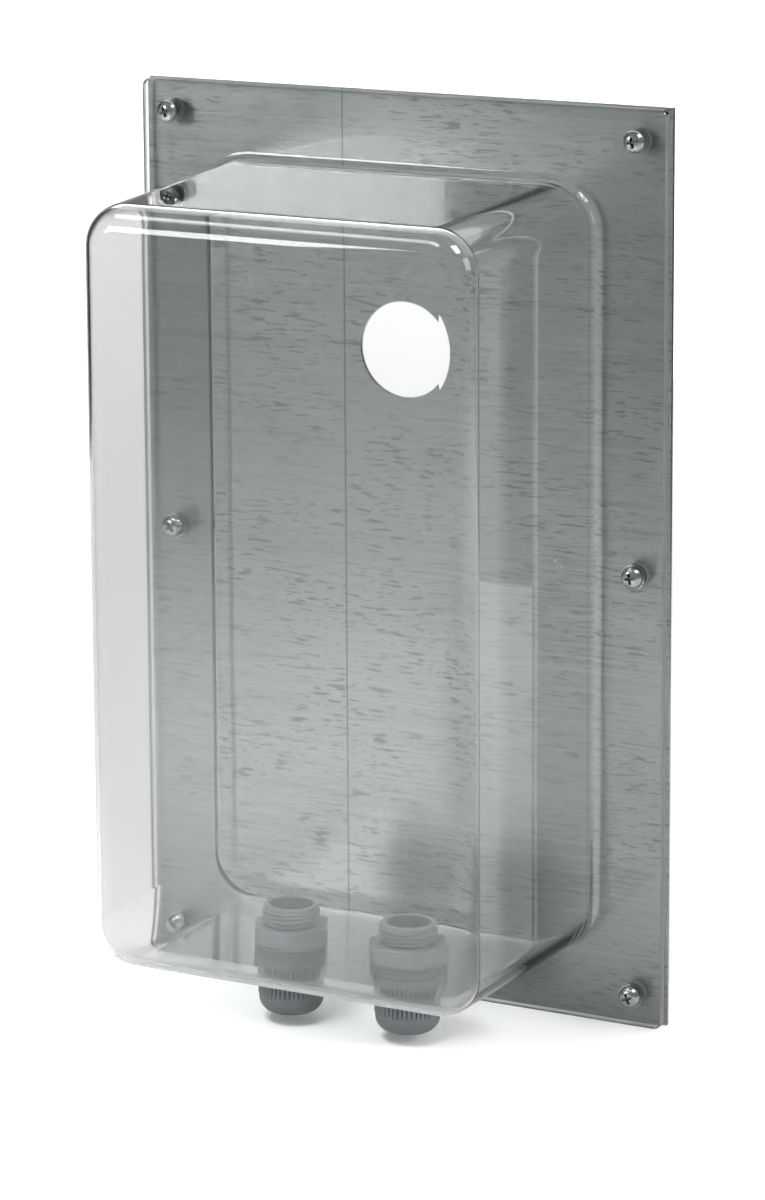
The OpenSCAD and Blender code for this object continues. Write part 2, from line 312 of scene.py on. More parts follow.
def combine(piece, other, operation):
    """Cuts another object from the piece, or joins it on, and removes the other."""
    step = piece.modifiers.new(operation.title(), "BOOLEAN")
    step.operation = operation
    step.solver = "EXACT"
    step.object = other
    bake(piece)
    mesh = other.data
    bpy.data.objects.remove(other)
    bpy.data.meshes.remove(mesh)
    if not piece.data.polygons:
        raise RuntimeError(f"{piece.name} came out empty")


def shade(piece, angle=32):
    """Smooth shading that stays flat on flat faces and sharp at real edges."""
    mesh = piece.data
    for face in mesh.polygons:
        face.use_smooth = True
    mesh.set_sharp_from_angle(angle=math.radians(angle))
    weighted = piece.modifiers.new("Face Weights", "WEIGHTED_NORMAL")
    weighted.keep_sharp = True
    weighted.weight = 100


def give(piece, material):
    """Makes this the piece's only material."""
    piece.data.materials.clear()
    piece.data.materials.append(material)


def repaint(node, material):
    """Assigns the material to every slot of a CAD node."""
    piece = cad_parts[node]
    if not piece.material_slots:
        piece.data.materials.append(material)
    for slot in piece.material_slots:
        slot.material = material


# Shader helpers.


def new_group(name, inputs, outputs):
    """A shader group with named sockets and its two end nodes, which are None where it was made before."""
    if name in bpy.data.node_groups:
        return bpy.data.node_groups[name], None, None
    group = bpy.data.node_groups.new(name, "ShaderNodeTree")
    for label, kind in inputs:
        group.interface.new_socket(label, in_out="INPUT", socket_type=kind)
    for label, kind in outputs:
        group.interface.new_socket(label, in_out="OUTPUT", socket_type=kind)
    return group, group.nodes.new("NodeGroupInput"), group.nodes.new("NodeGroupOutput")


def math_node(tree, operation, first, second=None):
    """A Math node fed by sockets or numbers; returns its output."""
    node = tree.nodes.new("ShaderNodeMath")
    node.operation = operation
    for socket, value in zip(node.inputs, (first, second)):
        if value is None:
            continue
        if isinstance(value, (int, float)):
            socket.default_value = value
        else:
            tree.links.new(value, socket)
    return node.outputs[0]


def remap(tree, value, low, high, new_low=0.0, new_high=1.0):
    """Maps low..high to new_low..new_high, held at both ends."""
    node = tree.nodes.new("ShaderNodeMapRange")
    tree.links.new(value, node.inputs["Value"])
    for label, number in (("From Min", low), ("From Max", high), ("To Min", new_low), ("To Max", new_high)):
        node.inputs[label].default_value = number
    return node.outputs["Result"]


def stretched(tree, vector, scale):
    """The vector scaled along X, Y and Z."""
    node = tree.nodes.new("ShaderNodeVectorMath")
    node.operation = "MULTIPLY"
    tree.links.new(vector, node.inputs[0])
    node.inputs[1].default_value = scale
    return node.outputs[0]


def noise(tree, vector, scale, detail=3.0, rough=0.5):
    """A noise value at the vector."""
    node = tree.nodes.new("ShaderNodeTexNoise")
    node.inputs["Scale"].default_value = scale
    node.inputs["Detail"].default_value = detail
    node.inputs["Roughness"].default_value = rough
    tree.links.new(vector, node.inputs["Vector"])
    return node.outputs["Fac"]


def mix_colour(tree, factor, first, second):
    """A colour mix; each input is a socket, a number or a colour."""
    node = tree.nodes.new("ShaderNodeMix")
    node.data_type = "RGBA"
    for socket, value in zip((node.inputs[0], node.inputs[6], node.inputs[7]), (factor, first, second)):
        if isinstance(value, bpy.types.NodeSocket):
            tree.links.new(value, socket)
        elif isinstance(value, (int, float)):
            socket.default_value = value
        else:
            socket.default_value = (*value, 1)
    return node.outputs[2]


def clouding_group():
    """Slow and fine tone changes, as on plated or moulded surfaces."""
    group, start, end = new_group(
        "Clouding",
        [("Vector", "NodeSocketVector")],
        [("Slow", "NodeSocketFloat"), ("Fine", "NodeSocketFloat")],
    )
    if start:
        vector = start.outputs["Vector"]
        group.links.new(noise(group, vector, 18.0, 2.0), end.inputs["Slow"])
        group.links.new(noise(group, vector, 260.0, 4.0, 0.6), end.inputs["Fine"])
    return group


def grain_group():
    """The fine uneven skin of moulded plastic and rubber."""
    group, start, end = new_group(
        "Moulded Skin", [("Vector", "NodeSocketVector")], [("Height", "NodeSocketFloat")]
    )
    if start:
        vector = start.outputs["Vector"]
        coarse = noise(group, vector, 900.0, 2.0)
        fine = noise(group, vector, 3800.0, 3.0, 0.6)
        height = math_node(group, "ADD", math_node(group, "MULTIPLY", coarse, 0.6), fine)
        group.links.new(height, end.inputs["Height"])
    return group


def rolling_group():
    """Short thin marks along X, as the mill leaves on zinc sheet."""
    group, start, end = new_group(
        "Rolling Marks",
        [("Vector", "NodeSocketVector")],
        [("Marks", "NodeSocketFloat"), ("Lines", "NodeSocketFloat")],
    )
    if start:
        vector = start.outputs["Vector"]
        long = noise(group, stretched(group, vector, (130.0, 130.0, 1000.0)), 1.0, 1.0, 0.5)
        short = noise(group, stretched(group, vector, (270.0, 270.0, 1500.0)), 1.0, 1.0, 0.5)
        patches = noise(group, stretched(group, vector, (24.0, 24.0, 40.0)), 1.0, 2.0)
        marks = math_node(group, "MAXIMUM", remap(group, long, 0.60, 0.66), remap(group, short, 0.62, 0.69))
        marks = math_node(group, "MULTIPLY", marks, remap(group, patches, 0.40, 0.60, 0.35, 1.0))
        group.links.new(marks, end.inputs["Marks"])
        lines = noise(group, stretched(group, vector, (9.0, 9.0, 900.0)), 1.0, 3.0, 0.6)
        group.links.new(lines, end.inputs["Lines"])
    return group


def start_material(name):
    """A material with one Principled shader; returns it, its tree, the shader and the object vector."""
    material = bpy.data.materials.new(name)
    material.use_nodes = True
    tree = material.node_tree
    shader = tree.nodes["Principled BSDF"]
    where = tree.nodes.new("ShaderNodeTexCoord")
    return material, tree, shader, where.outputs["Object"]


def place_group(tree, group, vector):
    """Adds a group to the material and feeds its vector."""
    node = tree.nodes.new("ShaderNodeGroup")
    node.node_tree = group
    tree.links.new(vector, node.inputs["Vector"])
    return node


def bump(tree, shader, height, strength, distance):
    """Gives the shader a bump."""
    node = tree.nodes.new("ShaderNodeBump")
    node.inputs["Strength"].default_value = strength
    node.inputs["Distance"].default_value = distance
    tree.links.new(height, node.inputs["Height"])
    tree.links.new(node.outputs["Normal"], shader.inputs["Normal"])


def mix_shader(tree, factor, first, second):
    """Shows the first shader where the factor is 0 and the second where it is 1."""
    mix = tree.nodes.new("ShaderNodeMixShader")
    tree.links.new(factor, mix.inputs[0])
    tree.links.new(first.outputs[0], mix.inputs[1])
    tree.links.new(second.outputs[0], mix.inputs[2])
    tree.links.new(mix.outputs[0], tree.nodes["Material Output"].inputs["Surface"])


def scaled(colour, factor):
    """The colour made lighter or darker."""
    return tuple(channel * factor for channel in colour)


# Materials.


def clear_sheet_material(finish):
    """Formed clear sheet with a slight wave and a hazy lower lip; it throws no hard shadow."""
    material, tree, shader, vector = start_material("Clear Sheet")
    shader.inputs["Base Color"].default_value = (*finish.tint, 1)
    split = tree.nodes.new("ShaderNodeSeparateXYZ")
    tree.links.new(vector, split.inputs[0])
    low_down = remap(tree, split.outputs["Z"], 0.0285, 0.0350, 1.0, 0.0)
    far_out = remap(tree, split.outputs["Y"], -0.036, -0.044, 0.0, 1.0)
    haze = math_node(tree, "MULTIPLY", low_down, far_out)
    tree.links.new(remap(tree, haze, 0.0, 1.0, 0.03, 0.42), shader.inputs["Roughness"])
    shader.inputs["IOR"].default_value = SHEET_IOR
    shader.inputs["Transmission Weight"].default_value = 1.0
    wave = noise(tree, stretched(tree, vector, (14.0, 14.0, 10.0)), 1.0, 1.0)
    bump(tree, shader, wave, finish.wave, 0.0012)
    path = tree.nodes.new("ShaderNodeLightPath")
    open_way = math_node(tree, "MAXIMUM", path.outputs["Is Shadow Ray"], path.outputs["Is Diffuse Ray"])
    through = tree.nodes.new("ShaderNodeBsdfTransparent")
    through.inputs["Color"].default_value = (0.95, 0.955, 0.955, 1)
    mix_shader(tree, open_way, shader, through)
    return material


def sawn_rim_material(finish):
    """The flange's sawn rim: the same sheet, frosted."""
    material, tree, shader, vector = start_material("Sawn Rim")
    shader.inputs["Base Color"].default_value = (*scaled(finish.tint, 0.6), 1)
    shader.inputs["IOR"].default_value = SHEET_IOR
    shader.inputs["Transmission Weight"].default_value = 0.8
    rough = remap(tree, noise(tree, vector, 900.0, 2.0), 0.3, 0.7, 0.35, 0.6)
    tree.links.new(rough, shader.inputs["Roughness"])
    return material


def galvanised_material(finish):
    """Galvanised sheet: dull metal with rolling marks, slow clouds and one thin score line."""
    material, tree, shader, vector = start_material("Galvanised Sheet")
    clouds = place_group(tree, clouding_group(), vector)
    marks = place_group(tree, rolling_group(), vector)
    slow = remap(tree, clouds.outputs["Slow"], 0.3, 0.7)
    base = mix_colour(tree, slow, scaled(finish.zinc, 0.90), scaled(finish.zinc, 1.10))
    base = mix_colour(tree, remap(tree, marks.outputs["Lines"], 0.3, 0.7), base, scaled(finish.zinc, 1.16))
    dark = math_node(tree, "MULTIPLY", marks.outputs["Marks"], finish.streaks)
    base = mix_colour(tree, dark, base, scaled(finish.zinc, 0.30))
    split = tree.nodes.new("ShaderNodeSeparateXYZ")
    tree.links.new(vector, split.inputs[0])
    away = math_node(tree, "ABSOLUTE", math_node(tree, "SUBTRACT", split.outputs["X"], finish.score_x))
    score = remap(tree, away, 0.00015, 0.00040, 0.75, 0.0)
    base = mix_colour(tree, score, base, scaled(finish.zinc, 0.35))
    tree.links.new(base, shader.inputs["Base Color"])
    shader.inputs["Metallic"].default_value = 1.0
    rough = remap(tree, clouds.outputs["Fine"], 0.3, 0.7, finish.roughness - 0.03, finish.roughness + 0.05)
    tree.links.new(rough, shader.inputs["Roughness"])
    shader.inputs["Anisotropic"].default_value = 0.5
    grain = tree.nodes.new("ShaderNodeTangent")
    grain.direction_type, grain.axis = "RADIAL", "X"
    tree.links.new(grain.outputs[0], shader.inputs["Tangent"])
    height = math_node(tree, "SUBTRACT", marks.outputs["Lines"], marks.outputs["Marks"])
    bump(tree, shader, height, 0.12, 0.0002)
    return material


def plating_material(finish):
    """Bright zinc plating with faint clouds."""
    material, tree, shader, vector = start_material("Zinc Plating")
    clouds = place_group(tree, clouding_group(), vector)
    fine = remap(tree, clouds.outputs["Fine"], 0.3, 0.7)
    base = mix_colour(tree, fine, scaled(finish.zinc, 0.86), finish.zinc)
    tree.links.new(base, shader.inputs["Base Color"])
    shader.inputs["Metallic"].default_value = 1.0
    tree.links.new(remap(tree, clouds.outputs["Fine"], 0.3, 0.7, 0.14, 0.26), shader.inputs["Roughness"])
    bump(tree, shader, clouds.outputs["Fine"], 0.08, 0.0001)
    return material


def moulded_material(name, colour, roughness):
    """Moulded plastic or rubber with a fine skin and slight clouds."""
    material, tree, shader, vector = start_material(name)
    clouds = place_group(tree, clouding_group(), vector)
    slow = remap(tree, clouds.outputs["Slow"], 0.3, 0.7)
    base = mix_colour(tree, slow, scaled(colour, 0.94), scaled(colour, 1.06))
    tree.links.new(base, shader.inputs["Base Color"])
    rough = remap(tree, clouds.outputs["Fine"], 0.3, 0.7, roughness - 0.05, roughness + 0.06)
    tree.links.new(rough, shader.inputs["Roughness"])
    grain = place_group(tree, grain_group(), vector)
    bump(tree, shader, grain.outputs["Height"], 0.25, 0.00008)
    return material


def floor_material(stage):
    """Pale matt floor, lighter to the eye than in reflections and in the light that it returns."""
    material, tree, shader, _ = start_material("Pale Floor")
    path = tree.nodes.new("ShaderNodeLightPath")
    pale = mix_colour(tree, path.outputs["Is Camera Ray"], stage.floor, (0.97, 0.97, 0.97))
    tree.links.new(pale, shader.inputs["Base Color"])
    lift = mix_colour(tree, path.outputs["Is Camera Ray"], (0, 0, 0), (0.15, 0.15, 0.15))
    tree.links.new(lift, shader.inputs["Emission Color"])
    shader.inputs["Emission Strength"].default_value = 1.0
    shader.inputs["Roughness"].default_value = 0.9
    shader.inputs["Specular IOR Level"].default_value = 0.1
    return material


def card_material():
    """Dark card that shows in reflections alone, also in those inside the clear sheet."""
    material, tree, shader, vector = start_material("Dark Card")
    clouds = place_group(tree, clouding_group(), vector)
    base = mix_colour(tree, clouds.outputs["Slow"], (0.045, 0.045, 0.045), (0.055, 0.055, 0.055))
    tree.links.new(base, shader.inputs["Base Color"])
    shader.inputs["Roughness"].default_value = 0.9
    path = tree.nodes.new("ShaderNodeLightPath")
    reflected = math_node(tree, "GREATER_THAN", path.outputs["Glossy Depth"], 0.5)
    mix_shader(tree, reflected, tree.nodes.new("ShaderNodeBsdfTransparent"), shader)
    return material


def settings():
    """The scene's settings for this object."""
    return bpy.context.scene.clear_hood


# Hood.


def round_outline(half_w, half_h, radius, middle, y, steps=20):
    """Points round a rectangle with round corners, at depth y."""
    points = []
    for sx, sz, turn in ((1, 1, 0), (-1, 1, 90), (-1, -1, 180), (1, -1, 270)):
        for i in range(steps + 1):
            angle = math.radians(turn + 90 * i / steps)
            points.append(
                (
                    sx * (half_w - radius) + radius * math.cos(angle),
                    y,
                    middle + sz * (half_h - radius) + radius * math.sin(angle),
                )
            )
    return points


def hood_rings(s):
    """Outlines from the middle of the inside, over mouth, flange and fillet, to the outside front."""
    lean = math.tan(s.draft)
    flange_front = FLANGE_BACK_Y - s.sheet
    edge_y = FRONT_Y + s.edge_radius
    inset = (flange_front - edge_y) * lean + s.edge_radius / math.cos(s.draft)
    ring_r = s.front_corner - s.edge_radius
    half_w, half_h = s.width / 2, s.height / 2
    core_w, core_h = half_w - inset, half_h - inset
    plate_w, plate_h = HOOD_HIGH.x, (HOOD_HIGH.z - HOOD_LOW.z) / 2
    plate_middle = (HOOD_HIGH.z + HOOD_LOW.z) / 2
    soft = 0.0004

    def wall(y, back, flare):
        """The wall's outline at depth y, pushed in by back and out by flare."""
        shrink = (flange_front - y) * lean + back
        along = (flange_front - y) / (flange_front - edge_y)
        radius = s.base_corner + (s.front_corner - s.base_corner) * along - back + flare
        return round_outline(half_w - shrink + flare, half_h - shrink + flare, radius, s.middle, y)

    def edge(radius):
        """The rounded edge round the front, from the wall to the front face."""
        steps = [s.draft + (math.pi / 2 - s.draft) * i / 14 for i in range(15)]
        return [
            round_outline(
                core_w + radius * math.cos(b), core_h + radius * math.cos(b), ring_r + radius * math.cos(b),
                s.middle, edge_y - radius * math.sin(b),
            )
            for b in steps
        ]

    def flare(start_y, radius, back):
        """The turn from the flange's face into the wall."""
        return [
            wall(start_y - radius * (1 - math.cos(t)), back, radius * (1 - math.sin(t)))
            for t in (math.pi / 2 * i / 10 for i in range(11))
        ]

    def flange(shrink, y):
        """The flange's own outline."""
        return round_outline(plate_w - shrink, plate_h - shrink, s.flange_corner - shrink, plate_middle, y)

    thickness = s.sheet / math.cos(s.draft)
    inside = list(reversed(edge(s.edge_radius - s.drawn_sheet)))
    mouth = list(reversed(flare(FLANGE_BACK_Y, s.fillet + s.sheet, thickness)))
    rim = [flange(soft, FLANGE_BACK_Y), flange(0, FLANGE_BACK_Y - soft), flange(0, flange_front + soft),
           flange(soft, flange_front)]
    outside = flare(flange_front, s.fillet, 0.0) + edge(s.edge_radius)
    return inside + mouth + rim + outside


def gland_matrix(side):
    """Where a gland stands: on the hood's floor, square to it."""
    s = settings().hood
    low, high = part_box(f"gland_ring_{side}")
    ring = (low + high) / 2
    up = Vector((0, math.sin(s.draft), math.cos(s.draft)))
    centre = ring + up * (s.sheet + RING_HALF)
    return Matrix.Translation(centre) @ Matrix.Rotation(-s.draft, 4, "X")


class CLEARHOOD_OT_hood(bpy.types.Operator):
    """Build the clear hood as one formed sheet with its holes"""

    bl_idname = "clearhood.hood"
    bl_label = "Build Clear Hood"

    def execute(self, context):
        s = settings().hood
        hood = add_object("clear_hood", mesh_from_rings("Clear Hood", hood_rings(s)))
        for row, side in CORNERS:
            low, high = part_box(f"screw_{row}_{side}")
            middle = (low + high) / 2
            cutter = add_object("screw_hole", disc("Screw Hole", s.screw_hole / 2, -0.02, 0.02, 48))
            cutter.matrix_world = Matrix.Translation((middle.x, FLANGE_BACK_Y, middle.z)) @ Matrix.Rotation(
                math.pi / 2, 4, "X"
            )
            bpy.context.view_layer.update()
            combine(hood, cutter, "DIFFERENCE")
        for side in SIDES:
            cutter = add_object("gland_hole", disc("Gland Hole", s.gland_hole / 2, -0.006, 0.003, 96))
            cutter.matrix_world = gland_matrix(side)
            bpy.context.view_layer.update()
            combine(hood, cutter, "DIFFERENCE")
        shade(hood, 24)
        give(hood, clear_sheet_material(s))
        hood.data.materials.append(sawn_rim_material(s))
        for face in hood.data.polygons:
            aside = min(face.center.x - HOOD_LOW.x, HOOD_HIGH.x - face.center.x,
                        face.center.z - HOOD_LOW.z, HOOD_HIGH.z - face.center.z)
            if aside < RIM_WIDTH:
                face.material_index = 1
        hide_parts("hood")
        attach(hood, "hood")
        return {"FINISHED"}


# Plate and strips.


class CLEARHOOD_OT_plate(bpy.types.Operator):
    """Finish the galvanised plate and the strips behind it"""

    bl_idname = "clearhood.plate"
    bl_label = "Finish Back Plate"

    def execute(self, context):
        s = settings().plate
        repaint("back_plate", galvanised_material(s))
        strip = moulded_material("Pale Strip", s.strip, 0.5)
        for side in SIDES:
            repaint(f"rear_strip_{side}", strip)
        return {"FINISHED"}


# Screws.


def screw_mesh(s, spin):
    """A pan-head screw about Z, its seat at z = 0, its head upwards, its recess turned by spin degrees."""
    r, h = s.head / 2, s.head_height
    profile = [(0.0004, 0.0), (r - 0.00025, 0.0), (r - 0.00006, 0.0001), (r, 0.0003)]
    for i in range(1, 15):
        angle = math.pi / 2 * i / 14
        crown = 0.0003 + (h - 0.0003) * math.sin(angle) ** 1.15
        profile.append((max(r * math.cos(angle) ** 0.62, 0.0004), crown))
    head = add_object("head", lathe("Head", profile, 72))
    for turn in (0, 90):
        rings = []
        for rise, long, wide in RECESS_STEPS:
            z = h + rise
            rings.append([(long, wide, z), (-long, wide, z), (-long, -wide, z), (long, -wide, z)])
        cutter = add_object("recess", mesh_from_rings("Recess", rings))
        cutter.matrix_world = Matrix.Rotation(math.radians(turn + spin), 4, "Z")
        bpy.context.view_layer.update()
        combine(head, cutter, "DIFFERENCE")
    outer, root = s.shank / 2, s.shank / 2 - 0.0004
    segments, steps = 40, 6
    rings = []
    rows = int(s.length / s.pitch * steps)
    for k in range(rows + 1):
        z = -s.length + s.length * k / rows
        tip = min(1.0, (z + s.length) / 0.0008)
        ring = []
        for i in range(segments):
            angle = 2 * math.pi * i / segments
            wave = abs(((z / s.pitch - i / segments) % 1.0) * 2 - 1)
            radius = (root + (outer - root) * wave) * (0.72 + 0.28 * tip)
            height = z + (0.0002 if k == rows else 0)
            ring.append((radius * math.cos(angle), radius * math.sin(angle), height))
        rings.append(ring)
    shank = add_object("shank", mesh_from_rings("Shank", rings))
    combine(head, shank, "UNION")
    mesh = head.data
    bpy.data.objects.remove(head)
    return mesh


class CLEARHOOD_OT_screws(bpy.types.Operator):
    """Build the six pan-head screws and finish washers, nuts and spacers"""

    bl_idname = "clearhood.screws"
    bl_label = "Build Screws"

    def execute(self, context):
        s = settings().fixing
        plating = plating_material(s)
        # Painted shade: the spacers get a dark colour that stands in for the shadow behind the screw heads.
        pale = moulded_material("Spacer Painted Shade", s.spacer, 0.45)
        for row, side in CORNERS:
            name = f"{row}_{side}"
            low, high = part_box(f"screw_{name}")
            middle = (low + high) / 2
            screw = add_object(f"pan_screw_{name}", screw_mesh(s, RECESS_TURNS[name]))
            seat = Matrix.Translation((middle.x, low.y + s.head_height, middle.z))
            screw.data.transform(seat @ Matrix.Rotation(math.pi / 2, 4, "X"))
            shade(screw, 40)
            give(screw, plating)
            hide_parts(f"screw_{name}")
            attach(screw, f"screw_{name}")
            repaint(f"washer_{name}", plating)
            repaint(f"nut_{name}", plating)
            repaint(f"spacer_{name}", pale)
        return {"FINISHED"}


# Glands.


def entry_mesh(g, sheet, drawn):
    """The gland's tube about Z: sleeve, neck, collar, threaded entry and bore, z = 0 under the hexagon."""
    outer = g.entry / 2
    root = outer - 0.0008
    bore = g.bore / 2
    start = g.hex_height - 0.0002
    thread_end = g.hex_height + g.turns * g.pitch
    top = thread_end + g.lip
    flat = outer - 0.00045
    segments = 144

    def thread(z):
        """Radius at height z as a function of the angle, with a moulding flat on two sides."""

        def radius(angle):
            phase = (z - g.hex_height) / g.pitch - angle / (2 * math.pi)
            wave = abs((phase % 1.0) * 2 - 1)
            crest = min(1.0, max(0.0, (wave - 0.12) / 0.62))
            run_in = max(0.0, (z - g.hex_height + 0.0001) / 0.0006)
            run_out = max(0.0, (thread_end - z) / 0.0005)
            r = root + (outer - root) * crest * min(1.0, run_in, run_out)
            side = abs(math.cos(angle - math.radians(12)))
            return min(r, flat / side) if side > 0.9 else r

        return radius

    # The floor is thinner than the full sheet under the gland; the collar reaches down to it.
    seat = (drawn - sheet) * 0.64
    collar = g.hex_flats / 2 - 0.0001
    sleeve_end = -0.0120
    profile = [(bore, sleeve_end), (outer - 0.0016, sleeve_end), (outer - 0.001, -0.0114),
               (outer - 0.001, -sheet), (outer, -sheet), (outer, seat), (collar - 0.0002, seat),
               (collar, seat + 0.0002), (collar, -0.0003), (collar - 0.0003, 0.0), (collar - 0.0003, 0.0004),
               (outer, 0.0006), (outer, start)]
    rows = g.turns * 12
    heights = [start + (thread_end - start) * k / rows for k in range(rows + 1)]
    profile += [(thread(z), z) for z in heights]
    profile += [(outer - 0.0006, thread_end + 0.0001), (outer - 0.0006, top - 0.0005),
                (outer - 0.0008, top - 0.00018), (outer - 0.0012, top),
                (bore + 0.0006, top), (bore + 0.0002, top - 0.0002), (bore, top - 0.0007)]
    return lathe("Entry", profile, segments)


def hex_mesh(g):
    """The hexagon with softened edges, and the turned form that gives it its chamfer on top."""
    corner = g.hex_flats / 2 / math.cos(math.radians(30))
    body = add_object("hexagon", disc("Hexagon", corner, 0.0, g.hex_height, 6))
    bevel = body.modifiers.new("Soft Edges", "BEVEL")
    bevel.width = 0.0003
    bevel.segments = 3
    bake(body)
    wide = corner + 0.001
    profile = [(0.0005, -0.001), (wide, -0.001), (wide, g.hex_height - 0.0006),
               (corner - 0.0006, g.hex_height), (0.0005, g.hex_height)]
    return body, add_object("turned", lathe("Turned", profile, 96))


def cap_mesh(g):
    """The cap nut about Z: collar, ribs, rounded end, chamber and cable hole."""
    outer, sleeve_bore, chamber, hole = 0.0116, 0.00906, 0.0083, 0.0057
    top, end = -0.0054, -0.0255
    collar, ribs_end = top - 0.0014, top - 0.0134
    shoulder, floor = -0.0122, end + 0.0040
    smooth = outer - 0.00035
    round_r = 0.0054
    ease = 0.0003

    def ribbed(share):
        """Radius as a function of the angle, share saying how deep the grooves are here."""

        def radius(angle):
            wave = 0.5 + 0.5 * math.cos(angle * g.ribs)
            return outer - 0.00004 - g.rib_depth * share * wave ** 3

        return radius

    profile = [(sleeve_bore, top), (outer - ease, top), (outer - 0.00008, top - 0.0001),
               (outer, top - 0.0004), (outer, collar)]
    shares = (0.0, 0.5, 0.9, 1.0, 1.0, 1.0, 1.0, 1.0, 0.85, 0.4)
    for k, share in enumerate(shares):
        drop = (collar - ribs_end - 0.0004) * k / (len(shares) - 1)
        profile.append((ribbed(share), collar - 0.0002 - drop))
    profile.append((smooth + 0.0001, ribs_end))
    for i in range(15):
        angle = math.pi / 2 * i / 14
        radius = smooth - round_r + round_r * math.cos(angle)
        profile.append((radius, end + round_r - round_r * math.sin(angle)))
    profile += [(hole + ease, end), (hole, end + ease), (hole, floor), (chamber, floor),
                (chamber, shoulder), (sleeve_bore, shoulder)]
    return lathe("Cap Nut", profile, g.ribs * 8)


class CLEARHOOD_OT_glands(bpy.types.Operator):
    """Build the cable glands: threaded entry with hexagon, and ribbed cap nut"""

    bl_idname = "clearhood.glands"
    bl_label = "Build Cable Glands"

    def execute(self, context):
        g, hood = settings().gland, settings().hood
        grey = moulded_material("Moulded Grey", g.grey, 0.46)
        seal = moulded_material("Sealing Rubber", g.seal, 0.6)
        black = moulded_material("Black Rubber", (0.02, 0.021, 0.022), 0.65)
        for side in SIDES:
            place = gland_matrix(side)
            entry = add_object(f"gland_entry_{side}", entry_mesh(g, hood.sheet, hood.drawn_sheet))
            hexagon, turned = hex_mesh(g)
            hexagon.matrix_world = Matrix.Rotation(math.radians(HEX_TURNS[side]), 4, "Z")
            bpy.context.view_layer.update()
            combine(hexagon, turned, "INTERSECT")
            bore = add_object("bore", disc("Bore", g.bore / 2 + 0.0005, -0.002, 0.02, 96))
            bore.matrix_world = hexagon.matrix_world.copy()
            hexagon.data.transform(hexagon.matrix_world)
            hexagon.matrix_world = Matrix.Identity(4)
            bore.matrix_world = Matrix.Identity(4)
            bpy.context.view_layer.update()
            combine(hexagon, bore, "DIFFERENCE")
            combine(entry, hexagon, "UNION")
            entry.data.transform(place)
            shade(entry, 38)
            give(entry, grey)
            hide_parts(f"gland_body_{side}")
            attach(entry, "hood")
            cap = add_object(f"ribbed_cap_{side}", cap_mesh(g))
            cap.data.transform(place)
            shade(cap, 38)
            give(cap, grey)
            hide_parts(f"cap_nut_{side}")
            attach(cap, f"cap_nut_{side}")
            repaint(f"gland_ring_{side}", seal)
            repaint(f"clamp_cage_{side}", grey)
            repaint(f"rubber_insert_{side}", black)
        return {"FINISHED"}


# Stage.


def area_light(name, power, size_x, size_y, place, target):
    """A soft rectangular light that faces the target."""
    data = bpy.data.lights.new(name, "AREA")
    data.shape = "RECTANGLE"
    data.energy = power
    data.size, data.size_y = size_x, size_y
    lamp = bpy.data.objects.new(name, data)
    bpy.context.scene.collection.objects.link(lamp)
    lamp.location = place
    lamp.rotation_mode = "QUATERNION"
    lamp.rotation_quaternion = (Vector(target) - Vector(place)).to_track_quat("-Z", "Y")
    return lamp


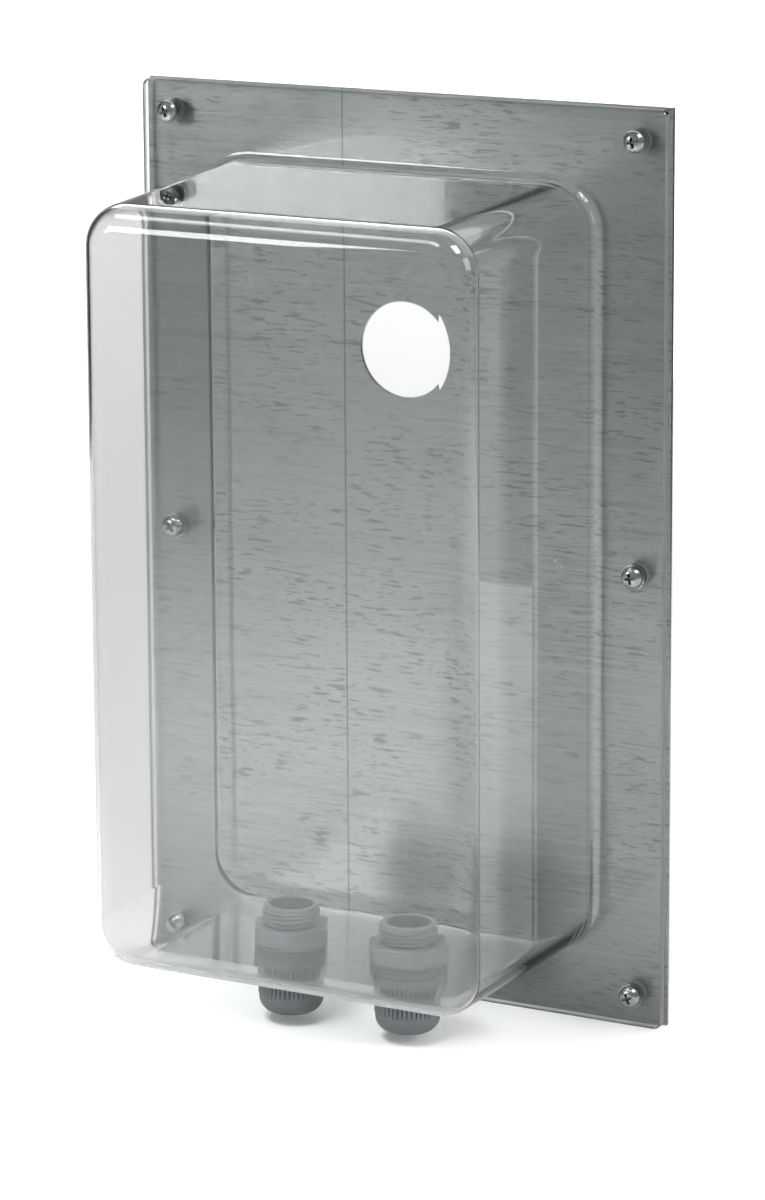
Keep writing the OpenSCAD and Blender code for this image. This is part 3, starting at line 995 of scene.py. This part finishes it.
class CLEARHOOD_OT_stage(bpy.types.Operator):
    """Set the pale floor, the soft lights and the camera"""

    bl_idname = "clearhood.stage"
    bl_label = "Set Stage"

    def execute(self, context):
        s = settings().stage
        scene = context.scene
        near, far, half_width, wall_top = -3.0, 3.2, 3.5, 3.2
        bend, steps = 0.9, 16
        line = [(near, 0.0), (far, 0.0)]
        if s.sweep:
            turns = [math.pi / 2 * i / steps for i in range(1, steps + 1)]
            line += [(far + bend * math.sin(a), bend - bend * math.cos(a)) for a in turns]
            line.append((far + bend, wall_top))
        verts = [(x, y, z) for y, z in line for x in (-half_width, half_width)]
        faces = [(2 * i, 2 * i + 1, 2 * i + 3, 2 * i + 2) for i in range(len(line) - 1)]
        mesh = bpy.data.meshes.new("Pale Floor")
        mesh.from_pydata(verts, [], faces)
        for face in mesh.polygons:
            face.use_smooth = True
        floor = add_object("pale_floor", mesh)
        give(floor, floor_material(s))

        world = bpy.data.worlds.new("Studio")
        world.use_nodes = True
        room = world.node_tree.nodes["Background"]
        room.inputs["Color"].default_value = (1, 1, 1, 1)
        room.inputs["Strength"].default_value = s.surround
        scene.world = world
        ceiling = area_light("ceiling", s.ceiling, 4.8, 3.9, (0, 2.55, 1.6), (0, 2.25, 0))
        ceiling.visible_glossy = False
        pool = area_light("pool", s.pool, 0.3, 0.3, (-0.12, -0.27, 0.55), (-0.145, -0.35, 0))
        pool.data.spread = math.radians(96)
        fill = area_light("side_fill", s.fill, 0.5, 0.5, (1.10, 0.10, 0.60), (0.10, 0.05, 0.15))
        fill.visible_glossy = False
        key = area_light("key_left", s.key, 0.5, 0.5, (-0.92, -1.30, 0.72), (0, 0, 0.28))
        top = area_light("top_small", s.top, 0.3, 0.36, (0.63, -0.17, 1.1), (0, 0, 0.28))
        key.visible_diffuse = top.visible_diffuse = False
        card_top, card_depth = 1.2, 0.01
        for name, start, end in (("right", (0.15, 0.60), (1.6, 0.38)), ("left", (-0.75, 0.55), (-1.5, -0.2))):
            front = [(*start, 0.0), (*end, 0.0), (*end, card_top), (*start, card_top)]
            back = [(x, y + card_depth, z) for x, y, z in front]
            card = add_object(f"dark_card_{name}", mesh_from_rings("Dark Card", [front, back]))
            give(card, card_material())
            card.visible_camera = card.visible_diffuse = card.visible_shadow = False
            card.visible_transmission = name == "left"

        scene.view_settings.view_transform = "Standard"
        aim = camera_pose()
        data = bpy.data.cameras.new("Camera")
        data.sensor_width = 36
        data.lens = data.sensor_width * aim["focal"] / IMAGE_HEIGHT
        data.shift_x = (IMAGE_WIDTH / 2 - aim["centre"][0]) / IMAGE_HEIGHT
        data.shift_y = (aim["centre"][1] - IMAGE_HEIGHT / 2) / IMAGE_HEIGHT
        data.clip_start, data.clip_end = 0.05, 50
        camera = bpy.data.objects.new("Camera", data)
        scene.collection.objects.link(camera)
        camera.matrix_world = aim["matrix"]
        scene.camera = camera
        return {"FINISHED"}


def camera_pose():
    """The photograph's viewpoint, with its focal length and picture centre in pixels."""
    turn, tilt, roll = math.radians(26.60), math.radians(10.94), math.radians(-0.29)
    aside, above, away = -0.00277, 0.07398, 1.49222
    ahead = Vector((-math.sin(turn) * math.cos(tilt), math.cos(turn) * math.cos(tilt), -math.sin(tilt)))
    level = Vector((math.cos(turn), math.sin(turn), 0))
    upright = level.cross(ahead)
    right = math.cos(roll) * level + math.sin(roll) * upright
    up = -math.sin(roll) * level + math.cos(roll) * upright
    start = Vector((0, PLATE_LOW.y, (PLATE_LOW.z + PLATE_HIGH.z) / 2))
    place = start + aside * right + above * up - away * ahead
    matrix = Matrix((right, up, -ahead)).transposed().to_4x4()
    matrix.translation = place
    return {"matrix": matrix, "focal": 4273.7, "centre": (397.9, 334.5)}


# Panel and running.


class VIEW3D_PT_clear_hood(bpy.types.Panel):
    """Buttons that build each piece"""

    bl_label = "Clear Hood"
    bl_idname = "VIEW3D_PT_clear_hood"
    bl_space_type = "VIEW_3D"
    bl_region_type = "UI"
    bl_category = "Clear Hood"

    def draw(self, context):
        chosen = context.scene.clear_hood
        for label, group, names in PANEL:
            box = self.layout.box()
            box.label(text=label)
            for name in names:
                box.operator(name)
            values = getattr(chosen, group)
            for prop in values.bl_rna.properties:
                if prop.identifier not in ("rna_type", "name"):
                    box.prop(values, prop.identifier)


PANEL = (
    ("Hood", "hood", ("clearhood.hood",)),
    ("Plate", "plate", ("clearhood.plate",)),
    ("Screws", "fixing", ("clearhood.screws",)),
    ("Glands", "gland", ("clearhood.glands",)),
    ("Stage", "stage", ("clearhood.stage",)),
)

CLASSES = (
    HoodSettings,
    PlateSettings,
    FixingSettings,
    GlandSettings,
    StageSettings,
    ClearHoodSettings,
    CLEARHOOD_OT_hood,
    CLEARHOOD_OT_plate,
    CLEARHOOD_OT_screws,
    CLEARHOOD_OT_glands,
    CLEARHOOD_OT_stage,
    VIEW3D_PT_clear_hood,
)


def register():
    for cls in CLASSES:
        bpy.utils.register_class(cls)
    bpy.types.Scene.clear_hood = PointerProperty(type=ClearHoodSettings)


def unregister():
    del bpy.types.Scene.clear_hood
    for cls in reversed(CLASSES):
        bpy.utils.unregister_class(cls)


def main():
    register()
    bpy.ops.clearhood.hood()
    bpy.ops.clearhood.plate()
    bpy.ops.clearhood.screws()
    bpy.ops.clearhood.glands()
    bpy.ops.clearhood.stage()


if __name__ == "__main__":
    main()
